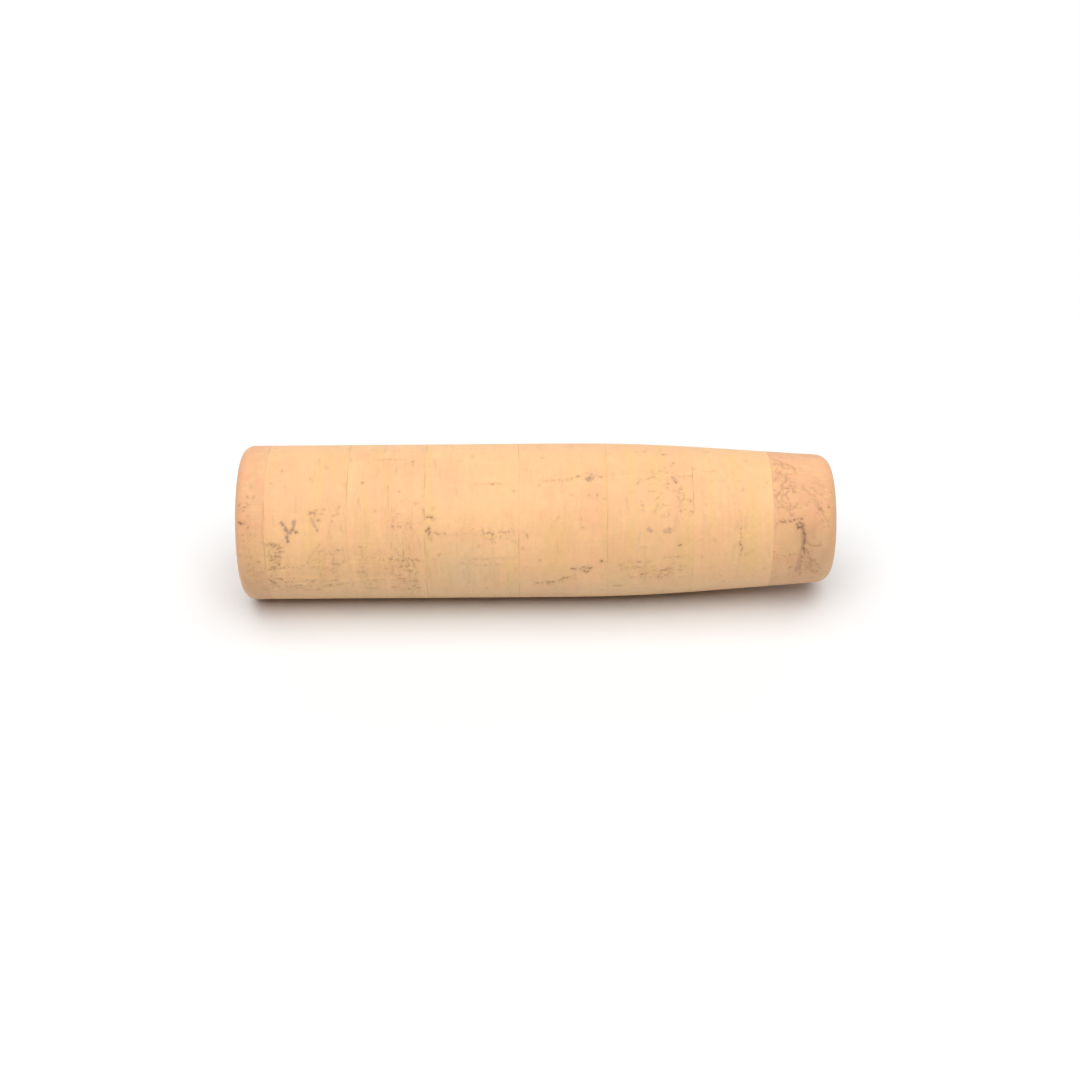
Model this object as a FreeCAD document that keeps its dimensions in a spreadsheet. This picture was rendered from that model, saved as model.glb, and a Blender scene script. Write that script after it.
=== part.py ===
import FreeCAD, Part
import Sketcher
import math
import os

# Dip pen holder with a turned cork barrel.
#
# Eight natural cork discs are glued face to face on a hardwood core and turned as one barrel: straight for
# more than half of its length, then easing into a gentle taper towards the nose, with flat ends and rounded end
# edges. The butt disc is solid and closes the barrel. The nose end of the core is drilled for a sheet-metal
# ferrule, and a stamped spring clip inside the ferrule presses a nib's shank outwards against the ferrule wall.
#
# Frame, in millimetres: the holder lies on its side on the plane z = 0, its axis along +X at half the barrel
# diameter above that plane, the nose towards +X, and the origin under the middle of the barrel.

SIZES = [
    ("barrel_length", 95.0, "butt face to nose face"),
    ("barrel_diameter", 25.0, "straight part of the turned barrel"),
    ("nose_diameter", 20.5, "where the taper would meet the nose face"),
    ("straight_length", 52.5, "from the butt face to where the side begins to curve in"),
    ("taper_blend_radius", 300.0, "curve between the straight part and the taper"),
    ("butt_edge_radius", 1.8, "sanded edge round the butt face"),
    ("nose_edge_radius", 2.5, "sanded edge round the nose face"),
    ("seam_1", 4.7, "butt face to the first glue line, the butt disc's thickness"),
    ("seam_2", 17.7, "butt face to the second glue line"),
    ("seam_3", 29.9, "butt face to the third glue line"),
    ("seam_4", 44.6, "butt face to the fourth glue line"),
    ("seam_5", 58.5, "butt face to the fifth glue line"),
    ("seam_6", 72.1, "butt face to the sixth glue line"),
    ("seam_7", 84.7, "butt face to the seventh glue line, behind the nose ring"),
    ("core_diameter", 12.0, "hardwood dowel, and the bore of the cork rings"),
    ("core_chamfer", 0.8, "lead-in at the dowel's butt end"),
    ("ferrule_length", 12.0, "mouth to back"),
    ("ferrule_diameter", 8.2, "outside of the ferrule tube, a press fit in the core"),
    ("ferrule_wall", 0.35, "sheet thickness of the ferrule"),
    ("ferrule_slit_angle", 4.0, "slit where the rolled sheet's edges meet, in degrees"),
    ("rim_diameter", 9.6, "rim at the ferrule's mouth, set flush in the core"),
    ("lip_inner_diameter", 5.6, "hole in the ferrule's turned-in back lip"),
    ("socket_clearance", 0.6, "drilled depth behind the ferrule"),
    ("drill_point_angle", 118.0, "bottom of the drilled socket, in degrees"),
    ("clip_sheet", 0.3, "sheet thickness of the spring clip"),
    ("clip_hub_diameter", 6.0, "disc that joins the leaves"),
    ("clip_hole_diameter", 1.6, "tooling hole in the middle of the hub"),
    ("clip_side_clearance", 0.05, "between the hub's tabs and the ferrule wall"),
    ("nib_slot", 0.25, "between a leaf's crest and the ferrule wall, a nib's sheet thickness"),
    ("leaf_crest_setback", 6.0, "nose face to the widest point of a leaf"),
    ("leaf_tip_setback", 2.0, "nose face to a leaf's tip"),
    ("leaf_bow_radius", 32.0, "outward bow of a leaf along its length"),
    ("leaf_angle", 58.0, "width of a leaf round the axis, in degrees"),
    ("tab_angle", 20.0, "width of a hub tab round the axis, in degrees"),
    ("leaf_count", 4, "leaves, and tabs between them, round the clip"),
]
CORK_NAMES = ["butt_disc"] + [f"cork_ring_{i}" for i in range(1, 7)] + ["nose_ring"]
SEAM_COUNT = len(CORK_NAMES) - 1

START, END, CENTRE = 1, 2, 3  # the points of a sketch element, as Sketcher numbers them
ORIGIN = (-1, 1)  # the sketch's own origin
SAME_PLACE = 1e-4
UPRIGHT = math.pi / 2

doc = FreeCAD.newDocument("cork_pen_holder")


def make_sheet():
    """The driving dimensions, one row each: name, value, note."""
    sheet = doc.addObject("Spreadsheet::Sheet", "Sizes")
    for row, (alias, value, note) in enumerate(SIZES, start=1):
        sheet.set(f"A{row}", alias)
        sheet.set(f"B{row}", str(value))
        sheet.set(f"C{row}", note)
        sheet.setAlias(f"B{row}", alias)
    doc.recompute()
    return sheet


sizes = make_sheet()


def value_of(expression):
    """An expression's present value, for drawing a sketch near the shape that its constraints then hold."""
    return float(sizes.evalExpression(expression))


def origin_feature(body, role):
    """One of a body's own origin planes or axes."""
    return next(f for f in body.Origin.OriginFeatures if f.Role == role)


def new_body(name, x_expression):
    """A body whose own origin lies on the barrel's axis, at the given place along it."""
    body = doc.addObject("PartDesign::Body", name)
    body.Label = name
    body.setExpression("Placement.Base.x", x_expression)
    body.setExpression("Placement.Base.z", "Sizes.barrel_diameter / 2")
    return body


def new_sketch(body, name, plane="XZ_Plane"):
    """A sketch on one of the body's origin planes."""
    sketch = body.newObject("Sketcher::SketchObject", name)
    sketch.AttachmentSupport = [(origin_feature(body, plane), "")]
    sketch.MapMode = "FlatFace"
    sketch.Visibility = False
    return sketch


def bind(sketch, name, expression, kind, *elements):
    """Adds a dimension to a sketch and ties it to the sheet."""
    index = sketch.addConstraint(Sketcher.Constraint(kind, *elements, value_of(expression)))
    sketch.renameConstraint(index, name)
    sketch.setExpression(f"Constraints.{name}", expression)


def add_line(sketch, start, end):
    """A straight edge between two (x, y) points of the sketch."""
    return sketch.addGeometry(Part.LineSegment(FreeCAD.Vector(*start, 0), FreeCAD.Vector(*end, 0)), False)


def add_arc(sketch, centre, radius, start_angle, end_angle):
    """An arc about an (x, y) centre, counter-clockwise between two angles in radians."""
    circle = Part.Circle(FreeCAD.Vector(*centre, 0), FreeCAD.Vector(0, 0, 1), radius)
    return sketch.addGeometry(Part.ArcOfCircle(circle, start_angle, end_angle), False)


def join(sketch, *pairs):
    """Ties points together, each pair as (element, point, element, point)."""
    for pair in pairs:
        sketch.addConstraint(Sketcher.Constraint("Coincident", *pair))


def hold(sketch, direction, *lines):
    """Keeps lines Horizontal or Vertical."""
    for line in lines:
        sketch.addConstraint(Sketcher.Constraint(direction, line))


def ring_profile(body, name, back, thickness, inside, outside):
    """The rectangular section of a ring round the barrel's axis. Its back face lies the distance back behind
    the body's origin. All four sizes are expressions."""
    sketch = new_sketch(body, name)
    left, low, high = -value_of(back), value_of(inside), value_of(outside)
    right = left + value_of(thickness)
    corners = [(left, low), (right, low), (right, high), (left, high)]
    lines = [add_line(sketch, corner, corners[(i + 1) % 4]) for i, corner in enumerate(corners)]
    bottom, front, top, rear = lines
    join(sketch, *[(line, END, lines[(i + 1) % 4], START) for i, line in enumerate(lines)])
    hold(sketch, "Horizontal", bottom, top)
    hold(sketch, "Vertical", front, rear)
    bind(sketch, "back", back, "DistanceX", bottom, START, *ORIGIN)
    bind(sketch, "thickness", thickness, "DistanceX", bottom, START, bottom, END)
    bind(sketch, "inside", inside, "DistanceY", *ORIGIN, bottom, START)
    bind(sketch, "outside", outside, "DistanceY", *ORIGIN, top, START)
    return sketch


def revolve(body, name, sketch, angle="360"):
    """Turns a profile about the barrel's axis, to both sides of the sketch alike, through an angle given as
    an expression."""
    feature = body.newObject("PartDesign::Revolution", name)
    feature.Profile = sketch
    feature.ReferenceAxis = (sketch, ["H_Axis"])
    feature.Midplane = True
    feature.setExpression("Angle", angle)
    doc.recompute()
    return feature


def edges_at(feature, x, diameter):
    """Names of a feature's round edges in the plane at x, of this diameter; both are expressions."""
    place, radius = value_of(x), value_of(diameter) / 2
    names = []
    for number, edge in enumerate(feature.Shape.Edges, start=1):
        curve = edge.Curve
        if not isinstance(curve, Part.Circle):
            continue
        if abs(curve.Center.x - place) < SAME_PLACE and abs(curve.Radius - radius) < SAME_PLACE:
            names.append(f"Edge{number}")
    return names


def dress_edge(body, kind, name, base, x, diameter, size):
    """A Fillet or Chamfer on one round edge of a turned body."""
    feature = body.newObject(f"PartDesign::{kind}", name)
    feature.Base = (base, edges_at(base, x, diameter))
    feature.setExpression("Radius" if kind == "Fillet" else "Size", size)
    doc.recompute()
    return feature


def make_barrel_form():
    """The turned outside of the glued stack, solid. Its own origin is at the middle of the butt face."""
    body = new_body("barrel_form", "-Sizes.barrel_length / 2")
    sketch = new_sketch(body, "barrel_profile")
    length, radius, nose = sizes.barrel_length, sizes.barrel_diameter / 2, sizes.nose_diameter / 2
    straight, bend = sizes.straight_length, sizes.taper_blend_radius
    slope = (radius - nose) / (length - straight)
    blend_end = (straight + bend * slope, radius - bend * slope**2 / 2)

    butt = add_line(sketch, (0, 0), (0, radius))
    side = add_line(sketch, (0, radius), (straight, radius))
    blend = add_arc(sketch, (straight, radius - bend), bend, UPRIGHT - slope, UPRIGHT)
    taper = add_line(sketch, blend_end, (length, nose))
    face = add_line(sketch, (length, nose), (length, 0))
    axis = add_line(sketch, (length, 0), (0, 0))

    join(sketch, (butt, START, *ORIGIN), (butt, END, side, START), (taper, END, face, START))
    join(sketch, (face, END, axis, START), (axis, END, butt, START))
    sketch.addConstraint(Sketcher.Constraint("Tangent", side, END, blend, END))
    sketch.addConstraint(Sketcher.Constraint("Tangent", taper, START, blend, START))
    hold(sketch, "Vertical", butt, face)
    hold(sketch, "Horizontal", side, axis)
    bind(sketch, "radius", "Sizes.barrel_diameter / 2", "DistanceY", butt, START, butt, END)
    bind(sketch, "length", "Sizes.barrel_length", "DistanceX", axis, END, axis, START)
    bind(sketch, "straight", "Sizes.straight_length", "DistanceX", side, START, side, END)
    bind(sketch, "nose", "Sizes.nose_diameter / 2", "DistanceY", face, END, face, START)
    bind(sketch, "bend", "Sizes.taper_blend_radius", "Radius", blend)

    form = revolve(body, "turned_form", sketch)
    form = dress_edge(
        body, "Fillet", "butt_edge", form,
        "0", "Sizes.barrel_diameter", "Sizes.butt_edge_radius"
    )
    form = dress_edge(
        body, "Fillet", "nose_edge", form,
        "Sizes.barrel_length", "Sizes.nose_diameter", "Sizes.nose_edge_radius"
    )
    body.Tip = form
    return body


def along_axis(name, diameter, start, end):
    """A cylinder on the barrel's axis between two distances from the butt face, given as expressions."""
    cylinder = doc.addObject("Part::Cylinder", name)
    cylinder.Placement = FreeCAD.Placement(FreeCAD.Vector(), FreeCAD.Rotation(FreeCAD.Vector(0, 1, 0), 90))
    cylinder.setExpression("Radius", f"{diameter} / 2")
    cylinder.setExpression("Height", f"{end} - {start}")
    cylinder.setExpression("Placement.Base.x", f"{start} - Sizes.barrel_length / 2")
    cylinder.setExpression("Placement.Base.z", "Sizes.barrel_diameter / 2")
    return cylinder


def make_cork_discs(barrel_form):
    """Each disc is its own slice of the turned form, and all but the butt disc are bored for the core."""
    seams = [f"Sizes.seam_{i}" for i in range(1, SEAM_COUNT + 1)]
    core_bore = along_axis("core_bore", "Sizes.core_diameter", "0", "Sizes.barrel_length")
    discs = []
    for name, start, end in zip(CORK_NAMES, ["0"] + seams, seams + ["Sizes.barrel_length"]):
        bored = name != "butt_disc"
        disc = doc.addObject("Part::Common", f"{name}_blank" if bored else name)
        disc.Base = barrel_form
        disc.Tool = along_axis(f"{name}_slice", "2 * Sizes.barrel_diameter", start, end)
        if bored:
            blank = disc
            disc = doc.addObject("Part::Cut", name)
            disc.Base = blank
            disc.Tool = core_bore
        disc.Label = name
        discs.append(disc)
    return discs


def round_section(body, name, diameter):
    """A circle round the barrel's axis, on the body's own YZ plane."""
    sketch = new_sketch(body, name, "YZ_Plane")
    circle = Part.Circle(FreeCAD.Vector(), FreeCAD.Vector(0, 0, 1), value_of(diameter) / 2)
    outline = sketch.addGeometry(circle, False)
    join(sketch, (outline, CENTRE, *ORIGIN))
    bind(sketch, "diameter", diameter, "Diameter", outline)
    return sketch


def make_core_dowel():
    """The hardwood core, from the butt disc to the nose face, with a counterbored socket for the ferrule in
    its nose end. Its own origin is at the middle of the nose face."""
    body = new_body("core_dowel", "Sizes.barrel_length / 2")
    rod = body.newObject("PartDesign::Pad", "rod")
    rod.Profile = round_section(body, "rod_section", "Sizes.core_diameter")
    rod.Reversed = True
    rod.setExpression("Length", "Sizes.barrel_length - Sizes.seam_1")
    doc.recompute()
    dress_edge(
        body, "Chamfer", "lead_in", rod, "Sizes.seam_1 - Sizes.barrel_length", "Sizes.core_diameter",
        "Sizes.core_chamfer",
    )

    mark = round_section(body, "socket_section", "Sizes.ferrule_diameter")
    doc.recompute()
    socket = body.newObject("PartDesign::Hole", "ferrule_socket")
    socket.Profile = mark
    socket.setExpression("Diameter", "Sizes.ferrule_diameter")
    socket.setExpression("Depth", "Sizes.ferrule_length + Sizes.socket_clearance")
    socket.HoleCutType = "Counterbore"
    socket.HoleCutCustomValues = True
    socket.setExpression("HoleCutDiameter", "Sizes.rim_diameter")
    socket.setExpression("HoleCutDepth", "Sizes.ferrule_wall")
    socket.DrillPoint = "Angled"
    socket.setExpression("DrillPointAngle", "Sizes.drill_point_angle")
    body.Tip = socket
    return body


def make_nib_ferrule():
    """The rolled sheet-metal tube that a nib's shank lies against, with a rim at its mouth, a turned-in lip
    at its back and a slit along its underside. Its own origin is at the middle of the nose face."""
    body = new_body("nib_ferrule", "Sizes.barrel_length / 2")
    sweep = "360 - Sizes.ferrule_slit_angle"
    wall, length = "Sizes.ferrule_wall", "Sizes.ferrule_length"
    outside = "Sizes.ferrule_diameter / 2"
    middle = f"{outside} - {wall} / 2"
    tube = ring_profile(body, "tube_profile", length, length, f"{outside} - {wall}", outside)
    revolve(body, "tube", tube, sweep)
    rim = ring_profile(body, "rim_profile", wall, wall, middle, "Sizes.rim_diameter / 2")
    revolve(body, "rim", rim, sweep)
    lip = ring_profile(body, "lip_profile", length, wall, "Sizes.lip_inner_diameter / 2", middle)
    lipped = revolve(body, "lip", lip, sweep)
    body.Tip = dress_edge(
        body, "Fillet", "mouth_edge", lipped, "0", "Sizes.ferrule_diameter - 2 * Sizes.ferrule_wall",
        "Sizes.ferrule_wall / 2",
    )
    return body


def leaf_profile(body, back):
    """The bowed section of one leaf of the clip, from the hub, at the distance back behind the nose, to its
    tip."""
    sketch = new_sketch(body, "leaf_profile")
    crest_height = "Sizes.ferrule_diameter / 2 - Sizes.ferrule_wall - Sizes.nib_slot"
    inner_bow = "Sizes.leaf_bow_radius - Sizes.clip_sheet"
    crest, tip, root = sizes.leaf_crest_setback, sizes.leaf_tip_setback, value_of(back)
    height, bow, sheet = value_of(crest_height), sizes.leaf_bow_radius, sizes.clip_sheet
    from_angle = UPRIGHT - math.asin((crest - tip) / bow)
    to_angle = UPRIGHT + math.asin((root - crest) / bow)
    centre = (-crest, height - bow)

    outer = add_arc(sketch, centre, bow, from_angle, to_angle)
    inner = add_arc(sketch, centre, bow - sheet, from_angle, to_angle)
    tip_end = add_line(sketch, (-tip, height), (-tip, height - sheet))
    root_end = add_line(sketch, (-root, height), (-root, height - sheet))
    join(sketch, (outer, START, tip_end, START), (inner, START, tip_end, END))
    join(sketch, (outer, END, root_end, START), (inner, END, root_end, END), (outer, CENTRE, inner, CENTRE))
    hold(sketch, "Vertical", tip_end, root_end)
    bind(sketch, "bow", "Sizes.leaf_bow_radius", "Radius", outer)
    bind(sketch, "inner_bow", inner_bow, "Radius", inner)
    bind(sketch, "crest", "Sizes.leaf_crest_setback", "DistanceX", outer, CENTRE, *ORIGIN)
    bind(sketch, "depth", f"Sizes.leaf_bow_radius - ({crest_height})", "DistanceY", outer, CENTRE, *ORIGIN)
    bind(sketch, "tip", "Sizes.leaf_tip_setback", "DistanceX", tip_end, START, *ORIGIN)
    bind(sketch, "root", back, "DistanceX", root_end, START, *ORIGIN)
    return sketch


def make_nib_clip():
    """The stamped spring clip: a hub disc on the ferrule's back lip, bowed leaves that rise from it towards
    the nose, and tabs between them that centre it in the tube. Its own origin is at the middle of the nose
    face."""
    body = new_body("nib_clip", "Sizes.barrel_length / 2")
    back = "Sizes.ferrule_length - Sizes.ferrule_wall"
    sheet, hub_edge = "Sizes.clip_sheet", "Sizes.clip_hub_diameter / 2"
    tab_edge = "Sizes.ferrule_diameter / 2 - Sizes.ferrule_wall - Sizes.clip_side_clearance"
    hub = ring_profile(body, "hub_profile", back, sheet, "Sizes.clip_hole_diameter / 2", hub_edge)
    revolve(body, "hub", hub)
    leaf = revolve(body, "leaf", leaf_profile(body, back), "Sizes.leaf_angle")

    tab_sketch = ring_profile(body, "tab_profile", back, sheet, f"{hub_edge} / 2", tab_edge)
    half_step = FreeCAD.Rotation(FreeCAD.Vector(1, 0, 0), 180 / sizes.leaf_count)
    tab_sketch.AttachmentOffset = FreeCAD.Placement(FreeCAD.Vector(), half_step)
    tab = revolve(body, "tab", tab_sketch, "Sizes.tab_angle")

    ring = body.newObject("PartDesign::PolarPattern", "leaves_and_tabs")
    ring.Originals = [leaf, tab]
    ring.Axis = (origin_feature(body, "X_Axis"), [""])
    ring.Angle = 360
    ring.setExpression("Occurrences", "Sizes.leaf_count")
    body.Tip = ring
    doc.recompute()
    if ring.Shape.Volume <= tab.Shape.Volume:
        raise RuntimeError("the clip's leaves were not repeated")
    return body


def check(parts):
    """Stops if any object failed, or a sub-part isn't one valid solid."""
    for thing in doc.Objects:
        if {"Invalid", "Error"} & set(thing.State):
            raise RuntimeError(f"{thing.Label} failed: {thing.State}")
    for part in parts:
        shape = part.Shape
        if shape.isNull() or not shape.isValid() or len(shape.Solids) != 1:
            raise RuntimeError(f"{part.Label} is not one valid solid")


def write(parts):
    """One STEP file per sub-part, named after its label."""
    os.makedirs("parts", exist_ok=True)
    for part in parts:
        part.Shape.exportStep(f"parts/{part.Label}.step")
        box = part.Shape.optimalBoundingBox()
        span = f"x {box.XMin:.2f} to {box.XMax:.2f}, {box.ZLength:.2f} high"
        print(f"{part.Label}: {part.Shape.Volume:.1f} mm3, {span}")


sub_parts = make_cork_discs(make_barrel_form())
sub_parts += [make_core_dowel(), make_nib_ferrule(), make_nib_clip()]
doc.recompute()
check(sub_parts)
write(sub_parts)
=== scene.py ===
import bpy
import math
import numpy as np
from mathutils import Matrix, Vector


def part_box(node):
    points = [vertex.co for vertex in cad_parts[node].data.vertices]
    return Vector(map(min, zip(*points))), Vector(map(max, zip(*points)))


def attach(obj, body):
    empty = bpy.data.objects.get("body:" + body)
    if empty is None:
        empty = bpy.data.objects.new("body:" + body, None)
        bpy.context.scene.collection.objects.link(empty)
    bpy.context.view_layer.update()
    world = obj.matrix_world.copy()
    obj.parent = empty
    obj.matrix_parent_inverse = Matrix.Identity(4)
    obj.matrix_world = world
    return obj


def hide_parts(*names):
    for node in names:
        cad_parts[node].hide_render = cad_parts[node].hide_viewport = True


# A dip pen holder of turned natural cork, lying on its side. The object's lengths are in millimetres, and
# become metres where a mesh or the camera is made. The floor and the lights are in metres. "Along" is the
# distance from the butt face towards the nose, and "x" the place on the X axis. "Turn" is the angle round the
# barrel in degrees, 0 on the line that faces the camera and positive upwards from it.

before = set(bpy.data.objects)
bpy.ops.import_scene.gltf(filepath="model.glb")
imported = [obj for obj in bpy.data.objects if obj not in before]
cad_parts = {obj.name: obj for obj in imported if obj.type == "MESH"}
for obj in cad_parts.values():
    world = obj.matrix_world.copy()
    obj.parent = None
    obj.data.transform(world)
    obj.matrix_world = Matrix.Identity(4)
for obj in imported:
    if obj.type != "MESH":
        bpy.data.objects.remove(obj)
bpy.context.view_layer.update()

MM = 0.001
CAMERA_ELEVATION = 33.0
CAMERA_DISTANCE = 305.0
CAMERA_ROLL = 0.43
LENS = 62.4
AIM_RIGHT, AIM_UP = 0.43, -3.2  # how far off the middle of the barrel the camera aims

CORK_NODES = ["butt_disc"] + [f"cork_ring_{i}" for i in range(1, 7)] + ["nose_ring"]
COLUMNS = 640  # cells round a full-width row
FEWEST_COLUMNS = 20  # where a row stays as it is, however small it gets
CELL = 0.125  # cell size on a visible surface
HIDDEN_STEP = 2.0  # row spacing on glued faces
SAME_PLACE = 0.01  # places nearer than this are the same

core_low, core_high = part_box("core_dowel")
AXIS_HEIGHT = (core_low.z + core_high.z) / 2 / MM
CORE_RADIUS = core_high.y / MM


# ---------------------------------------------------------------- seeded smooth noise


TABLE_SIZE = 4096
HASH = (73856093, 19349663, 83492791)  # large primes that spread the cells over the table
FAR_START = 1000.0  # keeps the cells' numbers positive


def noise(points, cell, seed):
    """Smooth random field from -1 to 1 at points in mm, with features about one cell across."""
    table = np.random.default_rng(seed).uniform(-1, 1, TABLE_SIZE)
    scaled = points / cell + FAR_START
    base = np.floor(scaled).astype(np.int64)
    part = scaled - base
    part = part * part * (3 - 2 * part)
    total = 0
    for corner in range(8):
        step = np.array([corner & 1, corner >> 1 & 1, corner >> 2 & 1])
        cells = (base + step) * HASH
        key = (cells[..., 0] ^ cells[..., 1] ^ cells[..., 2]) & (TABLE_SIZE - 1)
        total = total + table[key] * np.prod(np.where(step, part, 1 - part), axis=-1)
    return total


def ramp(value, low, high):
    """0 below low, 1 above high, smooth between."""
    t = np.clip((value - low) / (high - low), 0, 1)
    return t * t * (3 - 2 * t)


# ---------------------------------------------------------------- the barrel's outline, from the CAD nodes


def read_outline():
    """The barrel's outside as (x, radius) points in mm from butt to nose, as the CAD nodes have it."""
    widest = {}
    for name in CORK_NODES:
        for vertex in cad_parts[name].data.vertices:
            x, y, z = vertex.co / MM
            x = round(x, 2)
            widest[x] = max(widest.get(x, 0), math.hypot(y, z - AXIS_HEIGHT))
    kept = []
    for point in sorted(widest.items()):
        if not kept or math.dist(point, kept[-1]) > CELL:
            kept.append(point)
    return np.array(kept)


OUTLINE = read_outline()
BUTT = OUTLINE[0, 0]
NOSE = OUTLINE[-1, 0]
RUN = np.concatenate([[0], np.cumsum(np.hypot(*np.diff(OUTLINE, axis=0).T))])  # length along the outline
OUTLINE_SLOPE = np.gradient(OUTLINE, RUN, axis=0)


def on_outline(run):
    """The outline's (x, radius) at lengths along it, on a smooth cubic through its points."""
    i = np.clip(np.searchsorted(RUN, run) - 1, 0, len(RUN) - 2)
    width = (RUN[i + 1] - RUN[i])[:, None]
    t = (run - RUN[i])[:, None] / width
    start, end = OUTLINE[i], OUTLINE[i + 1]
    start_pull, end_pull = OUTLINE_SLOPE[i] * width, OUTLINE_SLOPE[i + 1] * width
    rise = t * t * (3 - 2 * t)
    curve = start + (end - start) * rise + start_pull * t * (1 - t) ** 2 - end_pull * t * t * (1 - t)
    return np.clip(curve, OUTLINE.min(axis=0), OUTLINE.max(axis=0))


def radius_at(x):
    """The barrel's radius at a place on the X axis."""
    return float(np.interp(x, OUTLINE[:, 0], OUTLINE[:, 1]))


def place(x, turn, radius=None):
    """The point in mm at this x and turn, on the barrel's surface unless a radius is given."""
    radius = radius_at(x) if radius is None else radius
    angle = math.radians(turn + CAMERA_ELEVATION)
    return np.array([x, -radius * math.cos(angle), AXIS_HEIGHT + radius * math.sin(angle)])


def unrolled(points):
    """How far along the barrel each point is, and its turn from -180 to 180."""
    rise = np.degrees(np.arctan2(points[:, 2] - AXIS_HEIGHT, -points[:, 1]))
    return points[:, 0] - BUTT, (rise - CAMERA_ELEVATION + 180) % 360 - 180


# ---------------------------------------------------------------- marks in the cork


class Mark:
    """A pit, crack, lenticel, stain or pale streak: a chain of points in mm, its width, depth and looks."""

    def __init__(self, chain, width, depth=0.0, dark=0.0, stain=0.0, pale=0.0, broken=-1.0):
        self.chain = [np.array(point) for point in chain]
        self.width = width
        self.depth = depth
        self.dark = dark
        self.stain = stain
        self.pale = pale
        self.broken = broken  # -1 whole, 0 half eaten away


def on_side(chain, **look):
    """A mark whose chain is given as (along, turn) pairs on the barrel's side."""
    return Mark([place(BUTT + along, turn) for along, turn in chain], **look)


def pencil(**look):
    """A function that draws a mark of this look through the (along, turn) pairs that it is given."""
    return lambda *chain: on_side(chain, **look)


def lenticel_row(along, turn, length, rng, strength=1.0):
    """A row of short dashes that runs along the barrel: one lenticel channel, cut open by the turning."""
    marks = []
    at = along
    while at < along + length:
        dash = min(rng.uniform(0.15, 1.3), along + length - at)
        drift = rng.normal(0, 0.8)
        chain = [(at, turn + drift), (at + dash, turn + drift + rng.normal(0, 0.8))]
        look = dict(width=rng.uniform(0.1, 0.2), depth=rng.uniform(0.04, 0.16))
        marks.append(on_side(chain, dark=strength * rng.uniform(0.35, 0.9), broken=-0.3, **look))
        at += dash + rng.uniform(0.15, 1.1)
    return marks


def speckles(along, turn, width, height, count, rng, strength=0.6):
    """Small pits scattered over a patch. Its width is along the barrel, its height in degrees of turn."""
    marks = []
    for _ in range(count):
        at = (along + width * rng.normal(0, 0.32), turn + height * rng.normal(0, 0.32))
        chain = [at, (at[0] + rng.normal(0, 0.15), at[1] + rng.normal(0, 0.7))]
        look = dict(width=rng.uniform(0.09, 0.2), depth=rng.uniform(0.03, 0.1))
        marks.append(on_side(chain, dark=strength * rng.uniform(0.4, 1.0), **look))
    return marks


def crackle(along, turn, width, height, count, rng, strength=0.6):
    """A net of hairline cracks over a patch, each a short wandering chain."""
    stride = (0.5, 3.0)  # along and turn
    marks = []
    for _ in range(count):
        at = np.array([along + width * rng.uniform(-0.5, 0.5), turn + height * rng.uniform(-0.5, 0.5)])
        heading = rng.uniform(0, 2 * math.pi)
        chain = [tuple(at)]
        for _ in range(rng.integers(2, 5)):
            heading += rng.normal(0, 0.9)
            at = at + np.array([math.cos(heading), math.sin(heading)]) * stride
            chain.append(tuple(at))
        look = dict(width=rng.uniform(0.19, 0.25), dark=strength * rng.uniform(0.3, 1.0))
        marks.append(on_side(chain, depth=0.04, broken=-0.75, **look))
    return marks


def woven(along, turn, width, height, rows, lines, rng, strength=0.5):
    """A patch where short dashes along the barrel cross faint growth lines that go round it."""
    marks = []
    for _ in range(rows):
        at = along + width * rng.uniform(-0.5, 0.2)
        level = turn + height * rng.uniform(-0.5, 0.5)
        end = at + width * rng.uniform(0.2, 0.5)
        while at < end:
            dash = rng.uniform(0.1, 0.6)
            chain = [(at, level + rng.normal(0, 0.4)), (at + dash, level + rng.normal(0, 0.4))]
            look = dict(width=rng.uniform(0.14, 0.2), dark=strength * rng.uniform(0.3, 1.0))
            marks.append(on_side(chain, depth=0.03, broken=-0.4, **look))
            at += dash + rng.uniform(0.15, 0.7)
    for _ in range(lines):
        at = along + width * rng.uniform(-0.5, 0.5)
        top = turn + height * rng.uniform(0.0, 0.6)
        chain = wandering(at, top, 0, -height * rng.uniform(0.3, 0.9), rng)
        look = dict(width=0.2, depth=0.02, dark=strength * rng.uniform(0.2, 0.55))
        marks.append(on_side(chain, broken=0.0, **look))
    return marks


def wandering(along, turn, length, height, rng, steps=4):
    """A chain of (along, turn) pairs that wanders from a start, over a length and a height in degrees."""
    chain = []
    for t in np.linspace(0, 1, steps):
        chain.append((along + length * t + rng.normal(0, 0.07), turn + height * t + rng.normal(0, 0.9)))
    return chain


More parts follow.
